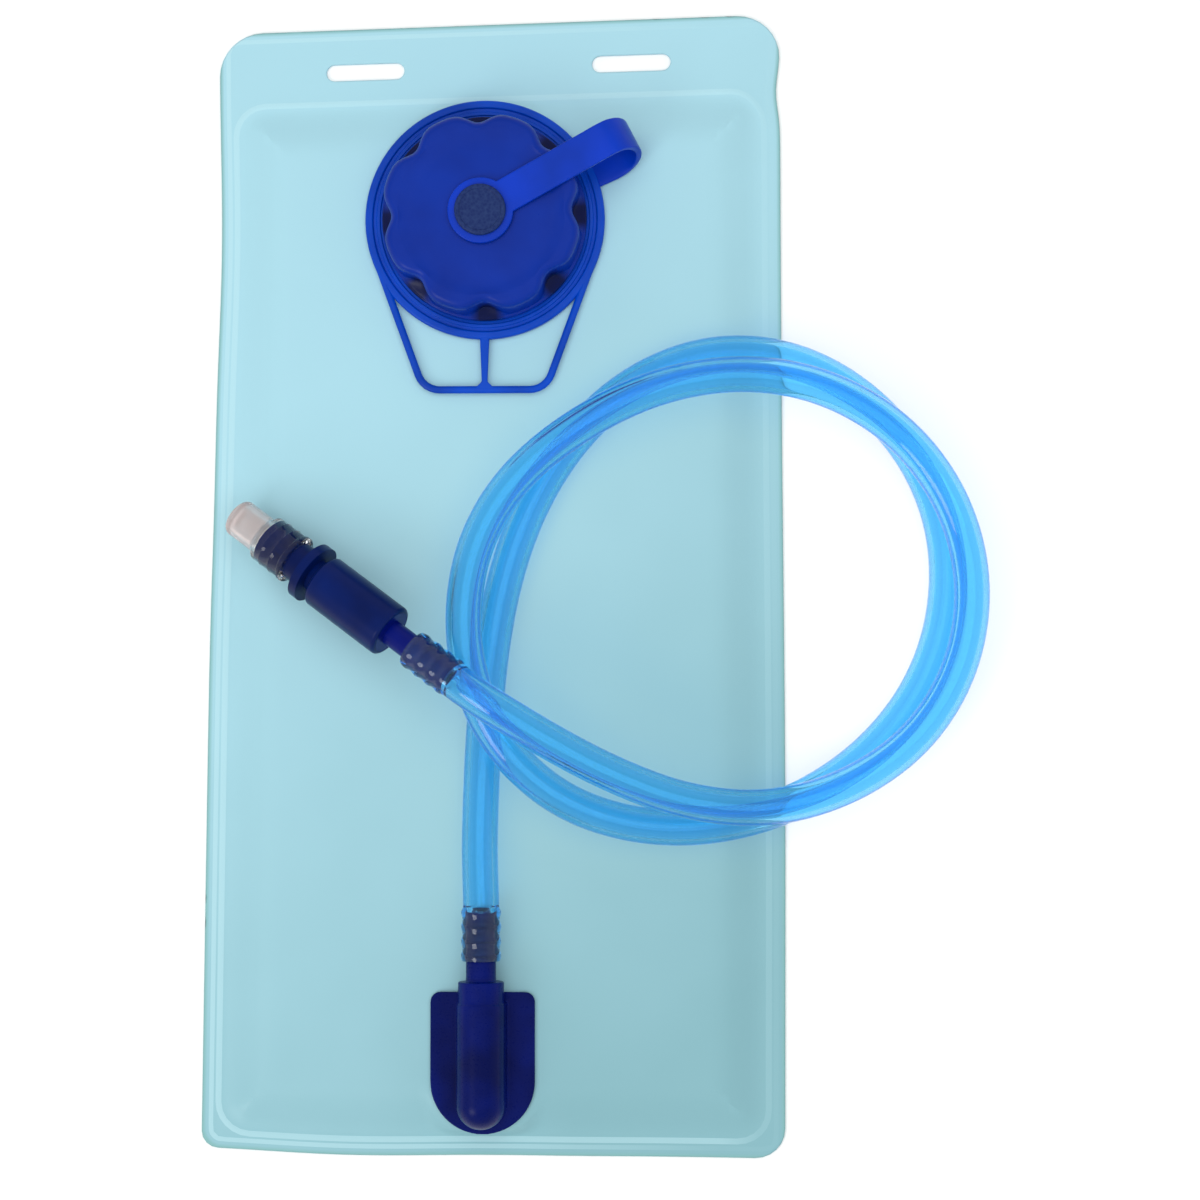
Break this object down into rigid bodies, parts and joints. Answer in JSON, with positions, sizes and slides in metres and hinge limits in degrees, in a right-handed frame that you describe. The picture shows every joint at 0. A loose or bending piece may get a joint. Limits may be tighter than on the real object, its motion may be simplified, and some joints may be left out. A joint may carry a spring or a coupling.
{
  "type": "hydration bladder",
  "caption": "Flat film water bag with a screw-capped filling port, a handle ring, a long drinking hose and a push-pull bite valve.",
  "frame": {"origin": "middle of the bag's back film, on the surface that the bag lies on", "axes": "+X across the bag to its right, +Y up the bag to the header with the hang slots, +Z out of its front"},
  "size_m": [0.2395, 0.35, 0.0417],
  "materials": {
    "film": "soft translucent PEVA film, pale blue, satin",
    "port_blue": "moulded polyethylene, mid blue, satin",
    "cap_blue": "moulded polypropylene, mid blue, satin",
    "strap_blue": "flexible moulded polyethylene, bright blue",
    "button_grey": "moulded polypropylene with a fine texture, grey blue",
    "outlet_navy": "moulded polyethylene, navy, slightly translucent",
    "hose_blue": "clear blue TPU tubing, glossy",
    "valve_navy": "moulded ABS, dark navy, glossy",
    "clear_silicone": "clear silicone rubber, milky",
    "seal_rubber": "black silicone seal",
    "gasket_silicone": "white silicone gasket"
  },
  "bodies": {
    "bladder": {"back_film": "film", "front_film": "film", "fill_collar": "port_blue", "handle_ring": "port_blue", "outlet": "outlet_navy", "hose": "hose_blue", "valve_barb": "valve_navy", "valve_body": "valve_navy"},
    "tether": {"tether": "strap_blue"},
    "cap": {"cap_shell": "cap_blue", "cap_gasket": "gasket_silicone", "cap_button": "button_grey"},
    "mouthpiece": {"valve_stem": "valve_navy", "stem_seal": "seal_rubber", "nose_seal": "seal_rubber", "bite_sheath": "clear_silicone"}
  },
  "joints": [
    {"name": "cap_lift", "type": "slide", "parent": "bladder", "child": "tether", "axis": [0, 0, 1], "range_m": [0, 0.008], "deforming": ["tether"]},
    {"name": "cap_turn", "type": "hinge", "parent": "tether", "child": "cap", "pos_m": [-0.0018, 0.113, 0.02], "axis": [0, 0, 1], "range_deg": [0, 720]},
    {"name": "mouthpiece_push", "type": "slide", "parent": "bladder", "child": "mouthpiece", "axis": [0.7795, -0.5731, 0.2528], "range_m": [0, 0.0022]}
  ],
  "couplings": [
    {"joint": "cap_lift", "follows": "cap_turn", "m_per_rad": 0.0006366}
  ]
}
